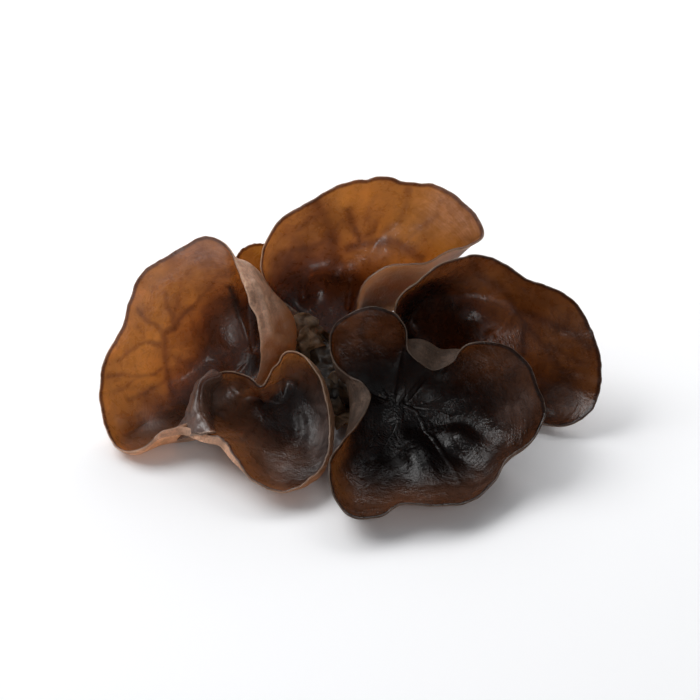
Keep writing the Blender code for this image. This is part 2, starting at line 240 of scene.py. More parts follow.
# Thicker flesh that lets less light through: (half width in mm, strength, route).
VEINS = {
    "front_right_ear": [(1.0, 0.5, [(352, 0.60), (350, 0.80), (355, 0.93)])],
    "front_left_ear": [
        (0.9, 0.6, [(350, 0.40), (345, 0.62), (352, 0.85)]),
        (0.8, 0.5, [(215, 0.45), (212, 0.70), (218, 0.90)]),
    ],
    "left_ear": [
        (1.1, 0.88, [(48, 0.59), (61, 0.62), (73, 0.64), (81, 0.71), (89, 0.67), (103, 0.59),
                     (120, 0.53), (137, 0.50)]),
        (0.8, 0.65, [(73, 0.64), (65, 0.68), (61, 0.76), (53, 0.83)]),
        (0.8, 0.70, [(81, 0.71), (77, 0.79), (76, 0.88), (72, 0.94)]),
        (0.8, 0.65, [(89, 0.67), (90, 0.82), (97, 0.88), (104, 0.92)]),
        (0.8, 0.79, [(107, 0.58), (114, 0.65), (115, 0.76), (113, 0.87), (114, 0.96)]),
        (0.7, 0.56, [(120, 0.53), (125, 0.60), (129, 0.71), (131, 0.82)]),
        (0.9, 0.56, [(94, 0.63), (100, 0.50), (107, 0.40)]),
        (0.7, 0.47, [(90, 0.82), (84, 0.86), (82, 0.93)]),
        (0.7, 0.47, [(65, 0.68), (56, 0.70), (44, 0.76), (38, 0.84)]),
        (0.7, 0.42, [(114, 0.76), (121, 0.83), (124, 0.92)]),
        (0.8, 0.47, [(48, 0.59), (36, 0.62), (22, 0.66), (12, 0.74)]),
    ],
    "back_ear": [
        (2.0, 0.75, [(44, 0.97), (38, 0.86), (34, 0.68), (31, 0.53), (28, 0.39)]),
        (1.4, 0.85, [(22, 0.84), (18, 0.74), (10, 0.65), (7, 0.59), (19, 0.58)]),
        (1.5, 0.85, [(7, 0.59), (351, 0.60), (341, 0.63), (329, 0.62), (309, 0.61)]),
        (1.1, 0.56, [(38, 0.86), (49, 0.90), (57, 0.87)]),
        (1.2, 0.65, [(359, 0.74), (0, 0.67), (8, 0.63)]),
        (1.1, 0.47, [(346, 0.97), (342, 0.86), (341, 0.76), (350, 0.68)]),
        (0.9, 0.47, [(18, 0.74), (26, 0.78), (34, 0.74)]),
        (0.9, 0.47, [(329, 0.62), (326, 0.75), (320, 0.88)]),
        (0.9, 0.47, [(34, 0.68), (50, 0.70), (66, 0.76)]),
        (0.8, 0.38, [(0, 0.67), (8, 0.78), (6, 0.90)]),
    ],
    "right_ear": [
        (1.1, 0.9, [(298, 0.64), (279, 0.63), (264, 0.57), (250, 0.56)]),
        (1.2, 0.7, [(298, 0.64), (286, 0.73), (276, 0.80), (269, 0.89), (259, 0.96)]),
        (0.9, 0.6, [(279, 0.63), (260, 0.69), (249, 0.75), (238, 0.80)]),
        (1.4, 0.7, [(298, 0.64), (325, 0.80), (347, 0.79), (2, 0.92)]),
        (0.8, 0.5, [(260, 0.69), (250, 0.84), (246, 0.94)]),
    ],
    "small_back_ear": [(0.8, 0.6, [(300, 0.4), (320, 0.7), (330, 0.95)])],
}

# Where an ear lets more or less light through than the rest of it, which also makes its wet face darker or warmer:
# partly the flesh's own thickness, partly painted shade in hollows and painted backlit glow. (turn, share, radius in
# mm, change).
GLOW_AND_SHADE_SPOTS = {
    "front_right_ear": [
        (352, 0.76, 6, 0.06), (241, 0.78, 7, 0.24), (45, 0.86, 7, 0.04), (150, 0.88, 9, 0.01),
        (200, 0.90, 8, 0.07), (266, 0.85, 5, 0.07), (108, 0.82, 8, -0.05),
    ],
    "front_left_ear": [
        (350, 0.66, 5, 0.30), (336, 0.13, 6, -0.20), (210, 0.70, 9, 0.06), (77, 0.60, 9, -0.18),
        (100, 0.80, 8, -0.16), (131, 0.75, 7, -0.08), (285, 0.80, 5, -0.10), (40, 0.75, 7, -0.08),
        (278, 0.58, 4, 0.10), (100, 0.15, 6, -0.14), (240, 0.35, 5, 0.08),
    ],
    "left_ear": [
        (23, 0.27, 12, -0.25), (93, 0.06, 9, -0.14), (27, 0.52, 9, -0.12), (166, 0.53, 9, -0.25),
        (161, 0.34, 8, -0.17), (202, 0.44, 9, -0.22), (10, 0.85, 9, -0.18), (88, 0.80, 9, 0.08),
        (145, 0.85, 4, -0.11), (330, 0.60, 9, -0.17), (40, 0.85, 9, -0.07),
    ],
    "back_ear": [
        (54, 0.33, 9, -0.30), (37, 0.12, 9, -0.25), (66, 0.62, 9, -0.17), (5, 0.30, 7, -0.12),
        (10, 0.75, 9, 0.03), (330, 0.80, 8, 0.06), (304, 0.88, 9, -0.06), (325, 0.40, 6, -0.08),
        (95, 0.60, 8, -0.17), (50, 0.85, 8, -0.08),
    ],
    "right_ear": [
        (26, 0.58, 7, -0.12), (42, 0.28, 9, -0.17), (272, 0.52, 6, 0.06), (319, 0.39, 7, -0.07),
        (218, 0.80, 9, -0.10), (250, 0.80, 9, 0.01), (330, 0.80, 8, 0.03), (200, 0.60, 9, -0.10),
    ],
    "small_back_ear": [],
}

# Where the outer face has lost its velvet pile, or keeps it: (turn, share, radius in mm, change).
BARE = {
    "front_right_ear": [],
    "front_left_ear": [],
    "left_ear": [
        (302, 0.80, 5.0, 0.9), (294, 0.82, 4.5, 0.7), (286, 0.90, 6.0, 0.9), (340, 0.85, 6.0, -0.5),
        (325, 0.95, 4.0, -0.4),
    ],
    "back_ear": [(80, 0.9, 20.0, 0.4)],
    "right_ear": [],
    "small_back_ear": [],
}

# Painted sheen on the wet inner face: a pale colour mixed in where the face would mirror the light round it, (turn,
# share, radius in mm, strength). The size of the strength also makes the face rougher with less coat, and below 0 it
# paints no sheen.
PAINTED_SHEEN_AND_DULL = {
    "front_right_ear": [
        (115, 0.76, 4.0, 0.14), (110, 0.91, 3.0, 0.12), (130, 0.60, 3.0, 0.08), (347, 0.42, 4.5, -0.8),
        (354, 0.30, 3.5, -0.5), (31, 0.21, 3.0, -0.6), (39, 0.29, 4.0, -0.6), (49, 0.33, 4.0, -0.5),
        (75, 0.40, 4.0, -0.4), (123, 0.44, 3.5, -0.3),
    ],
    "front_left_ear": [
        (77, 0.48, 5.0, 0.24), (44, 0.60, 6.0, 0.22), (270, 0.86, 4.0, 0.16), (100, 0.62, 5.0, 0.12),
    ],
    "left_ear": [
        (165, 0.61, 3.0, 0.50), (150, 0.66, 3.5, 0.24), (149, 0.31, 4.0, 0.14), (117, 0.35, 4.0, 0.10),
        (14, 0.94, 8.0, 0.14), (1, 0.90, 8.0, 0.12), (23, 0.28, 5.0, 0.06),
    ],
    "back_ear": [
        (313, 0.90, 7.0, 0.42), (298, 0.93, 5.0, 0.36), (326, 0.95, 6.0, 0.18), (339, 0.52, 4.0, 0.14),
        (314, 0.57, 4.0, 0.10), (49, 0.53, 3.0, 0.14), (54, 0.34, 4.0, 0.06), (75, 0.80, 9.0, 0.10),
    ],
    "right_ear": [(218, 0.84, 6.0, -0.5), (300, 0.58, 3.0, -0.6), (286, 0.56, 3.0, -0.4)],
    "small_back_ear": [],
}


def lattice_value(cell, seed):
    """A fixed value from -1 to 1 for each whole-number cell, by mixing its bits."""
    mixed = (cell[..., 0] * 73856093) ^ (cell[..., 1] * 19349663) ^ (cell[..., 2] * 83492791)
    mixed = (mixed + seed * 2654435761) & 0xFFFFFFFF
    mixed = ((mixed ^ (mixed >> 15)) * 2246822519) & 0xFFFFFFFF
    mixed = ((mixed ^ (mixed >> 13)) * 3266489917) & 0xFFFFFFFF
    mixed = mixed ^ (mixed >> 16)
    return mixed / 2147483647.5 - 1.0


def noise(points, size, seed, octaves=1):
    """Smooth noise: values on a cubic lattice of the given size, blended between
    corners with a quintic fade; each further octave has half the size and height."""
    total = np.zeros(points.shape[:-1])
    height = 1.0
    for octave in range(octaves):
        place = points / size * 2.0**octave + 17.3 * (seed + octave)
        cell = np.floor(place).astype(np.int64)
        f = place - cell
        f = f * f * f * (f * (f * 6 - 15) + 10)
        value = np.zeros(points.shape[:-1])
        for corner in range(8):
            offset = np.array([corner & 1, (corner >> 1) & 1, (corner >> 2) & 1])
            weight = np.prod(np.where(offset == 1, f, 1 - f), axis=-1)
            value = value + weight * lattice_value(cell + offset, seed + octave)
        total = total + height * value
        height *= 0.5
    return total


def smooth(values, low, high):
    """0 below low, 1 above high, and 3t^2 - 2t^3 between them."""
    t = np.clip((values - low) / (high - low), 0.0, 1.0)
    return t * t * (3 - 2 * t)


def closed_curve(stations, count):
    """Points at even pace along a closed cubic curve through the stations."""
    points = np.asarray(stations, float)
    following = np.roll(points, -1, axis=0)
    pace = np.linalg.norm(following[:, :3] - points[:, :3], axis=1) ** RIM_PACING
    slope_after = (following - points) / pace[:, None]
    slope_before = np.roll(slope_after, 1, axis=0)
    pace_before = np.roll(pace, 1)[:, None]
    tangent = slope_after * pace_before + slope_before * pace[:, None]
    tangent /= pace_before + pace[:, None]
    knots = np.concatenate([[0.0], np.cumsum(pace)])
    along = np.arange(count) / count * knots[-1]
    start = np.clip(np.searchsorted(knots, along, side="right") - 1, 0, len(points) - 1)
    end = (start + 1) % len(points)
    span = pace[start][:, None]
    s = (along - knots[start])[:, None] / span
    first = (2 * s**3 - 3 * s**2 + 1) * points[start]
    first += (s**3 - 2 * s**2 + s) * span * tangent[start]
    second = (3 * s**2 - 2 * s**3) * points[end] + (s**3 - s**2) * span * tangent[end]
    return first + second


def add_bump(sheet, opens, start, end, radius, height):
    """Raise the sheet along the way it opens by height * exp(-(distance / radius)^2),
    the distance being that to the line from start to end."""
    gap = distance_to(sheet, np.array([start, end], float))
    return sheet + opens * (height * np.exp(-(gap / radius) ** 2))[..., None]


def ear_sheet(ear, spokes, rings):
    """Middle of the flesh on a grid of rings by spokes, in mm. A spoke is a cubic
    curve from the middle of the cup to a point of the rim: it leaves along the
    floor and arrives along the wall, which leans and swells as the stations say."""
    stations = np.zeros((len(ear["rim"]), 7))
    for row, station in zip(stations, ear["rim"]):
        row[:len(station)] = station
    curve = closed_curve(stations, spokes)
    rim = curve[:, :3]
    lean = np.radians(curve[:, 3])[:, None]
    swell = curve[:, 4:7]
    centre = np.array(ear["centre"], float)
    opens = np.array(ear["opens"], float)
    opens /= np.linalg.norm(opens)

    chord = rim - centre
    length = np.linalg.norm(chord, axis=1)[:, None]
    outward = chord - (chord @ opens)[:, None] * opens
    outward /= np.linalg.norm(outward, axis=1)[:, None]
    arrival = opens * np.cos(lean) + outward * np.sin(lean)
    floor_handle = centre + FLOOR_REACH * length * outward + SWELL_AT_FLOOR * swell
    wall_handle = rim - WALL_REACH * length * arrival + swell

    u = np.linspace(0.0, 1.0, rings + 1)[:, None, None]
    sheet = (1 - u)**3 * centre + 3 * (1 - u)**2 * u * floor_handle
    sheet = sheet + 3 * (1 - u) * u**2 * wall_handle + u**3 * rim
    for start, end, radius, height in ear["bumps"]:
        sheet = add_bump(sheet, opens, start, end, radius, height)
    return sheet, opens


def rest_on_table(sheet):
    """Flatten the flesh gently where it would go below the table."""
    above = (sheet[..., 2] - RESTING_HEIGHT) / RESTING_SOFTNESS
    sheet[..., 2] = RESTING_HEIGHT + RESTING_SOFTNESS * np.logaddexp(0.0, above)
    return sheet


def sheet_normals(sheet, opens):
    """Unit normals of a closed-round grid, from the two directions' differences,
    turned to the side the cup opens to."""
    around = np.roll(sheet, -1, axis=1) - np.roll(sheet, 1, axis=1)
    outward = np.gradient(sheet, axis=0)
    normal = np.cross(outward, around)
    normal[0] = normal[1].mean(axis=0)
    normal /= np.linalg.norm(normal, axis=-1, keepdims=True) + 1e-12
    if (normal[1:] @ opens).mean() < 0:
        normal = -normal
    return normal


def route_on_sheet(sheet, route, steps=5):
    """Points in mm along a route of (turn in degrees, share) pairs, with even steps
    between the pairs, each read off the sheet between its four nearest points."""
    rings, spokes = sheet.shape[0] - 1, sheet.shape[1]
    pairs = np.array(route, float)
    pairs[:, 0] = np.unwrap(pairs[:, 0], period=360)
    at = np.linspace(0, len(pairs) - 1, (len(pairs) - 1) * steps + 1)
    column = np.interp(at, np.arange(len(pairs)), pairs[:, 0]) / 360 * spokes
    row = np.interp(at, np.arange(len(pairs)), pairs[:, 1]) * rings
    left = np.floor(column).astype(int)
    low = np.clip(np.floor(row).astype(int), 0, rings - 1)
    across = (column - left)[:, None]
    up = (row - low)[:, None]
    lower = sheet[low, left % spokes] * (1 - across) + sheet[low, (left + 1) % spokes] * across
    upper = sheet[low + 1, left % spokes] * (1 - across) + sheet[low + 1, (left + 1) % spokes] * across
    return lower * (1 - up) + upper * up


def distance_to(points, line):
    """Distance from every point to the nearest place on a line of short straight
    pieces: the point's foot on each piece, held between the piece's two ends."""
    nearest = np.full(points.shape[:-1], np.inf)
    for start, end in zip(line[:-1], line[1:]):
        way = end - start
        along = np.clip((points - start) @ way / max(way @ way, 1e-9), 0.0, 1.0)
        gap = points - start - along[..., None] * way
        nearest = np.minimum(nearest, (gap**2).sum(axis=-1))
    return np.sqrt(nearest)


def natural_relief(name, sheet, opens, sizes, seed):
    """The uneven growth of the flesh, in mm along its normal: broad swells that fade in from the middle, the listed
    folds, and waves along the rim."""
    rings, spokes = sheet.shape[0] - 1, sheet.shape[1]
    share = np.linspace(0.0, 1.0, rings + 1)[:, None]
    turn = 2 * math.pi * np.arange(spokes)[None, :] / spokes
    fade_in = smooth(share, 0.0, 0.3)
    height = 0.45 * noise(sheet, 11.0, seed) * fade_in
    height = height + 0.16 * noise(sheet, 4.5, seed + 3) * fade_in
    height = height + 0.05 * noise(sheet, 2.0, seed + 4) * fade_in
    for radius, rise, route in FOLDS[name]:
        gap = distance_to(sheet, route_on_sheet(sheet, route))
        height = height + rise * np.exp(-(gap / radius) ** 2)

    ring_place = np.stack([np.cos(turn), np.sin(turn), 0 * turn], axis=-1)
    waves = noise(ring_place * 5.0, 1.0, seed + 11) + 0.4 * noise(ring_place * 11.0, 1.0, seed + 12)
    height = height + sizes.rim_waves / MM * waves * share**5
    sheet = sheet + sheet_normals(sheet, opens) * height[..., None]

    outward = np.gradient(sheet, axis=0)
    outward /= np.linalg.norm(outward, axis=-1, keepdims=True) + 1e-12
    nibble = 0.28 * noise(ring_place * 8.0, 1.0, seed + 13) + 0.12 * noise(ring_place * 20.0, 1.0, seed + 14)
    return sheet + outward * (nibble * share**8)[..., None]


def vein_field(name, sheet, seed):
    """How strongly a vein thickens each place: strength * exp(-(distance / width)^2)
    for the strongest vein there, the distance wandering a little with noise."""
    wander = 0.5 * noise(sheet, 2.2, seed + 30)
    field = np.zeros(sheet.shape[:2])
    for width, strength, route in VEINS[name]:
        gap = distance_to(sheet, route_on_sheet(sheet, route)) + wander * 0.6
        field = np.maximum(field, strength * np.exp(-(gap / width) ** 2))
    return field


def add_spots(field, sheet, spots):
    """The field with change * exp(-(distance / radius)^2) added for each spot."""
    for turn, place, radius, change in spots:
        gap = np.linalg.norm(sheet - route_on_sheet(sheet, [(turn, place)])[0], axis=-1)
        field = field + change * np.exp(-(gap / radius) ** 2)
    return field


def glow_field(name, sheet, seed):
    """How much light the flesh lets through, which also sets the painted backlit glow of the wet face: little in the
    thick middle of a cup, most near the rim, cloudy all over, with the ear's own spots of thicker and thinner flesh,
    painted shade and glow added."""
    share = np.linspace(0.0, 1.0, sheet.shape[0])[:, None]
    field = FINISHES[name]["glow"] * (0.35 + 0.65 * smooth(share, *FINISHES[name]["lit_from"]))
    field = field * (1 + 0.22 * noise(sheet, 9.0, seed + 31) + 0.14 * noise(sheet, 3.6, seed + 32, 2))
    field = add_spots(field, sheet, GLOW_AND_SHADE_SPOTS[name])
    return np.maximum(field, 0.14 * FINISHES[name]["glow"])


def bare_field(name, sheet, seed):
    """Where the outer face has lost its velvet pile: towards the middle and at BARE spots."""
    share = np.linspace(0.0, 1.0, sheet.shape[0])[:, None]
    field = 0.8 * (1 - smooth(share, 0.45, 0.85)) + 0.35 * noise(sheet, 6.0, seed + 33, 2)
    field = add_spots(field, sheet, BARE[name])
    return np.clip(field, 0.0, 1.0)


def ear_shell(name, ear, sizes, seed):
    """Closed shell: the grid of the inner face, a half round over the rim, and the
    outer face back to the middle, with the four values of each point."""
    spokes, rings = GRIDS[name]
    sheet, opens = ear_sheet(ear, spokes, rings)
    sheet = rest_on_table(natural_relief(name, sheet, opens, sizes, seed))
    normal = sheet_normals(sheet, opens)
    share = np.linspace(0.0, 1.0, rings + 1)
    half = sizes.flesh_thickness / MM / 2 * (1.0 - RIM_THINNING * smooth(share, 0.3, 1.0))
    half = half[:, None, None] * (1 + 0.10 * noise(sheet, 5.0, seed + 20))[..., None]
    inner = sheet + normal * half
    outer = sheet - normal * half

    around = np.roll(sheet[-1], -1, axis=0) - np.roll(sheet[-1], 1, axis=0)
    brim = np.cross(around, normal[-1])
    brim /= np.linalg.norm(brim, axis=-1, keepdims=True) + 1e-12
    growth = sheet[-1] - sheet[-2]
    brim *= np.sign((brim * growth).sum(axis=-1, keepdims=True))
    steps = 7
    angles = np.linspace(0.0, math.pi, steps + 2)[1:-1]
    bead = [sheet[-1] + half[-1] * (normal[-1] * math.cos(a) + brim * math.sin(a)) for a in angles]

    def over_shell(field, middle):
        rows = np.concatenate([field[1:], np.repeat(field[-1:], steps, axis=0), field[:0:-1]])
        return np.concatenate([[middle], rows.ravel(), [middle]])

    rows = np.concatenate([inner[1:], np.array(bead), outer[:0:-1]])
    points = np.concatenate([inner[:1, 0], rows.reshape(-1, 3), outer[:1, 0]])
    glow = glow_field(name, sheet, seed)
    row_side = np.concatenate([np.zeros(rings), np.linspace(0.1, 0.9, steps), np.ones(rings)])
    values = {
        "share": over_shell(np.repeat(share[:, None], spokes, axis=1), 0.0),
        "side": np.concatenate([[0.0], np.repeat(row_side, spokes), [1.0]]),
        "vein": over_shell(vein_field(name, sheet, seed), 0.0),
        "glow": over_shell(glow, glow[0].mean()),
        "bare": over_shell(bare_field(name, sheet, seed), 1.0),
        # cloud: above 0 the strength of the painted sheen; its size makes the face duller.
        "cloud": over_shell(add_spots(np.zeros(sheet.shape[:2]), sheet, PAINTED_SHEEN_AND_DULL[name]), 0.0),
    }
    return sheet, points, len(rows), spokes, values


def grid_faces(rows, spokes):
    """Quads between neighbouring rows that close round, and a fan at either pole."""
    index = 1 + np.arange(rows * spokes).reshape(rows, spokes)
    after = np.roll(index, -1, axis=1)
    quads = np.stack([index[:-1], index[1:], after[1:], after[:-1]], axis=-1).reshape(-1, 4)
    first = np.stack([np.zeros(spokes, int), index[0], after[0]], axis=-1)
    last = np.stack([np.full(spokes, 1 + rows * spokes), after[-1], index[-1]], axis=-1)
    return quads, np.concatenate([first, last])


def signed_volume(points, quads, triangles):
    """Volume inside the faces, negative when they are inside out."""
    tri = np.concatenate([quads[:, :3], quads[:, [0, 2, 3]], triangles])
    a, b, c = points[tri[:, 0]], points[tri[:, 1]], points[tri[:, 2]]
    return (a * np.cross(b, c)).sum() / 6


def add_mesh(name, points, rows, spokes, values, material):
    """A smooth mesh object of a closed grid, with its place in its mesh. Points are
    in mm, and each of the values becomes an attribute of the points."""
    quads, triangles = grid_faces(rows, spokes)
    loops = np.concatenate([quads.ravel(), triangles.ravel()])
    starts = np.concatenate([np.arange(len(quads)) * 4, len(quads) * 4 + np.arange(len(triangles)) * 3])
    mesh = bpy.data.meshes.new(name)
    mesh.vertices.add(len(points))
    mesh.vertices.foreach_set("co", (points * MM).ravel())
    mesh.loops.add(len(loops))
    mesh.loops.foreach_set("vertex_index", loops)
    mesh.polygons.add(len(starts))
    mesh.polygons.foreach_set("loop_start", starts)
    mesh.polygons.foreach_set("use_smooth", np.ones(len(starts), bool))
    mesh.update(calc_edges=True)
    mesh.validate()
    if signed_volume(points, quads, triangles) < 0:
        mesh.flip_normals()
    for key, numbers in values.items():
        layer = mesh.attributes.new(key, "FLOAT", "POINT")
        layer.data.foreach_set("value", numbers.astype(np.float32))
    mesh.materials.append(material)
    piece = bpy.data.objects.new(name, mesh)
    bpy.context.scene.collection.objects.link(piece)
    return piece


class Nodes:
    """Short calls for making and linking the nodes of one tree."""

    def __init__(self, tree):
        self.tree = tree

    def add(self, kind, inputs=None, **settings):
        node = self.tree.nodes.new(kind)
        for key, value in settings.items():
            setattr(node, key, value)
        for key, value in (inputs or {}).items():
            self.feed(node.inputs[key], value)
        return node

    def feed(self, socket, value):
        if isinstance(value, bpy.types.NodeSocket):
            self.tree.links.new(value, socket)
        elif isinstance(value, bpy.types.Node):
            self.tree.links.new(value.outputs[0], socket)
        else:
            socket.default_value = value

    def math(self, operation, a, b=0.0, clamp=False):
        node = self.add("ShaderNodeMath", {0: a, 1: b}, operation=operation)
        node.use_clamp = clamp
        return node.outputs[0]

    def ramp(self, value, low, high, out_low=0.0, out_high=1.0):
        node = self.add("ShaderNodeMapRange", {0: value, 1: low, 2: high, 3: out_low, 4: out_high})
        node.interpolation_type = "SMOOTHSTEP"
        return node.outputs[0]

    def mix(self, factor, a, b, blend="MIX"):
        node = self.add("ShaderNodeMix", data_type="RGBA", blend_type=blend)
        self.feed(node.inputs["Factor"], factor)
        self.feed(node.inputs["A"], a)
        self.feed(node.inputs["B"], b)
        return node.outputs["Result"]

    def shade(self, colour, amount):
        """The colour times a value."""
        grey = self.add("ShaderNodeCombineColor", {0: amount, 1: amount, 2: amount})
        return self.mix(1.0, colour, grey.outputs[0], "MULTIPLY")

    def blend_value(self, factor, a, b):
        node = self.add("ShaderNodeMix", {0: factor, 2: a, 3: b}, data_type="FLOAT")
        return node.outputs[0]

    def noise(self, place, scale, detail=2.0, roughness=0.5, distortion=0.0):
        node = self.add("ShaderNodeTexNoise", {
            "Vector": place, "Scale": scale, "Detail": detail,
            "Roughness": roughness, "Distortion": distortion})
        return node.outputs["Fac"]

    def ring_place(self, place, share, stretch, rings):
        """The place, squeezed across the rings, so that noise runs along them."""
        wide = self.add("ShaderNodeVectorMath", {0: place, "Scale": stretch}, operation="SCALE")
        step = self.add("ShaderNodeCombineXYZ", {
            0: self.math("MULTIPLY", share, rings), 1: self.math("MULTIPLY", share, rings * 0.4)})
        return self.add("ShaderNodeVectorMath", {0: wide, 1: step}, operation="ADD").outputs[0]


def new_group(name, inputs, outputs):
    """A node group with named inputs (name, kind, default) and outputs (name, kind)."""
    group = bpy.data.node_groups.new(name, "ShaderNodeTree")
    for label, kind, default in inputs:
        socket = group.interface.new_socket(name=label, in_out="INPUT", socket_type=kind)
        socket.default_value = default
    for label, kind in outputs:
        group.interface.new_socket(name=label, in_out="OUTPUT", socket_type=kind)
    nodes = Nodes(group)
    start = nodes.add("NodeGroupInput")
    end = nodes.add("NodeGroupOutput")
    return group, nodes, start.outputs, end.inputs


def flesh_group():
    """Colours and relief of the jelly flesh, from its share, side, vein and glow. Its colours hold painted light: a
    backlit glow and a sheen on the wet face, a rim light on the velvet, and partly painted highlights on the rim bead.
    """
    colour = "NodeSocketColor"
    value = "NodeSocketFloat"
    group, n, given, out = new_group("jelly flesh", [
        ("Share", value, 0.5), ("Side", value, 0.0), ("Vein", value, 0.0), ("Glow", value, 0.5),
        ("Bare", value, 0.0), ("Cloud", value, 0.0),
        ("Dark", colour, (0.02, 0.01, 0.006, 1)), ("Backlit", colour, (0.10, 0.04, 0.012, 1)),
        ("Amber", colour, (0.85, 0.42, 0.12, 1)), ("Deep", colour, (0.25, 0.06, 0.02, 1)),
        ("Velvet", colour, (0.22, 0.15, 0.10, 1)), ("Edge", colour, (0.30, 0.24, 0.20, 1)),
        ("Skin", colour, (0.8, 0.66, 0.5, 1)), ("Sheen", colour, (0.4, 0.3, 0.28, 1)),
    ], [("Surface", colour), ("Through", colour), ("Roughness", value), ("Coat", value),
        ("Relief", value)])
    place = n.add("ShaderNodeTexCoord").outputs["Object"]
    cloud = n.noise(place, 110.0, 4.0, 0.6, 0.8)
    mottle = n.noise(place, 420.0, 3.0, 0.6, 0.4)
    grain = n.noise(place, 1600.0, 2.0, 0.6)
    threads = n.noise(place, 130.0, 3.0, 0.55, 1.6)
    threads = n.ramp(n.math("ABSOLUTE", n.math("SUBTRACT", threads, 0.5)), 0.0, 0.035, 1.0, 0.0)
    threads = n.math("MULTIPLY", threads, n.ramp(cloud, 0.40, 0.62))
    wrinkles = n.noise(n.ring_place(place, given["Share"], 230.0, 75.0), 1.0, 2.0, 0.6, 0.4)
    outer = n.ramp(given["Side"], 0.15, 0.95)
    inner = n.math("SUBTRACT", 1.0, outer)
    border = n.math("MULTIPLY", n.ramp(given["Share"], 0.980, 0.996), inner)
    # Crest: patches of the pale edge colour on the rim bead, partly the rim's own paler tone and partly a painted
    # highlight.
    crest = n.math("MULTIPLY", n.ramp(given["Side"], 0.42, 0.62), n.ramp(given["Side"], 0.92, 0.72))
    crest = n.math("MULTIPLY", crest, n.ramp(mottle, 0.38, 0.66, 0.25, 1.0))

    vein = n.math("MAXIMUM", given["Vein"], n.math("MULTIPLY", threads, 0.30))
    light = n.math("MULTIPLY", given["Glow"], n.ramp(mottle, 0.25, 0.75, 0.88, 1.10))
    light = n.math("MULTIPLY", light, n.math("SUBTRACT", 1.0, n.math("MULTIPLY", vein, 0.55)))
    light = n.math("MULTIPLY", light, n.math("SUBTRACT", 1.0, n.math("MULTIPLY", border, 0.6)))

    # Painted backlit glow: the wet face's colour goes from the dark colour to a warm one where light comes through the
    # flesh, on top of the light that the Translucent shader lets through.
    wet = n.mix(n.ramp(light, 0.03, 0.45), given["Dark"], given["Backlit"])
    wet = n.shade(wet, n.ramp(cloud, 0.3, 0.7, 0.8, 1.25))
    wet = n.shade(wet, n.math("SUBTRACT", 1.0, n.math("MULTIPLY", border, 0.35)))
    # Painted sheen: a pale colour mixed into the wet face where the cloud attribute is above 0, in place of reflected
    # light.
    painted = n.math("MULTIPLY", n.ramp(mottle, 0.3, 0.7, 0.4, 1.0), n.ramp(wrinkles, 0.3, 0.7, 0.6, 1.2))
    painted = n.math("MULTIPLY", n.math("MAXIMUM", given["Cloud"], 0.0), painted)
    wet = n.mix(painted, wet, given["Sheen"])
    nap_and_rim_light = n.math("MULTIPLY", n.ramp(cloud, 0.3, 0.7, 0.65, 1.35), n.ramp(mottle, 0.3, 0.7, 0.7, 1.35))
    nap_and_rim_light = n.math("MULTIPLY", nap_and_rim_light, n.ramp(grain, 0.35, 0.65, 0.7, 1.4))
    # Painted rim light: the velvet grows lighter towards the rim, where its hairs catch the light, and darker towards
    # the middle.
    nap_and_rim_light = n.math("MULTIPLY", nap_and_rim_light, n.ramp(given["Share"], 0.72, 0.98, 0.68, 1.30))
    fibres = n.noise(n.ring_place(place, given["Share"], 700.0, 380.0), 1.0, 2.0, 0.6, 0.8)
    fibres = n.math("MULTIPLY", n.ramp(fibres, 0.52, 0.70), n.ramp(cloud, 0.42, 0.62))
    nap_and_rim_light = n.math("ADD", nap_and_rim_light, n.math("MULTIPLY", fibres, 0.8))
    zones = n.noise(n.ring_place(place, given["Share"], 35.0, 26.0), 1.0, 3.0, 0.6, 0.5)
    nap_and_rim_light = n.math("MULTIPLY", nap_and_rim_light, n.ramp(zones, 0.30, 0.70, 0.62, 1.35))
    bare = n.math("MULTIPLY", given["Bare"], n.ramp(mottle, 0.3, 0.7, 0.7, 1.1), clamp=True)
    bald = n.mix(1.0, given["Velvet"], (0.5, 0.34, 0.2, 1), "MULTIPLY")
    napped_and_rim_lit = n.mix(bare, n.shade(given["Velvet"], nap_and_rim_light), bald)
    surface = n.mix(outer, wet, napped_and_rim_lit)
    surface = n.mix(crest, surface, given["Edge"])

    tint = n.mix(n.ramp(light, 0.05, 0.50), given["Deep"], given["Amber"])
    skin = n.mix(n.math("MULTIPLY", bare, outer), given["Skin"],
                 n.mix(1.0, given["Skin"], (1.0, 0.76, 0.5, 1), "MULTIPLY"))
    through = n.mix(outer, n.shade(tint, light), skin)

    dull = n.math("ABSOLUTE", given["Cloud"])
    gloss = n.math("ADD", n.ramp(mottle, 0.3, 0.7, 0.22, 0.38), n.math("MULTIPLY", dull, 0.45), clamp=True)
    rough = n.blend_value(outer, gloss, n.ramp(grain, 0.3, 0.7, 0.5, 0.8))
    coat = n.math("MULTIPLY", inner, n.ramp(cloud, 0.38, 0.64, 0.04, 0.75))
    coat = n.math("MULTIPLY", coat, n.ramp(dull, 0.0, 0.6, 1.0, 0.0))
    wrinkles = n.math("MULTIPLY", wrinkles, n.ramp(cloud, 0.45, 0.65, 0.05, 0.6))
    fine = n.math("ADD", wrinkles, n.math("MULTIPLY", mottle, 0.6))
    fine = n.math("ADD", fine, n.math("MULTIPLY", grain, n.ramp(cloud, 0.35, 0.6, 0.2, 0.55)))
    fine = n.math("SUBTRACT", fine, n.math("MULTIPLY", vein, 0.25))
    fuzz = n.math("ADD", n.math("MULTIPLY", grain, 0.8), n.math("ADD", mottle, n.math("MULTIPLY", zones, 1.2)))
    n.feed(out["Surface"], surface)
    n.feed(out["Through"], through)
    n.feed(out["Roughness"], rough)
    n.feed(out["Coat"], coat)
    n.feed(out["Relief"], n.blend_value(outer, fine, fuzz))
    return group
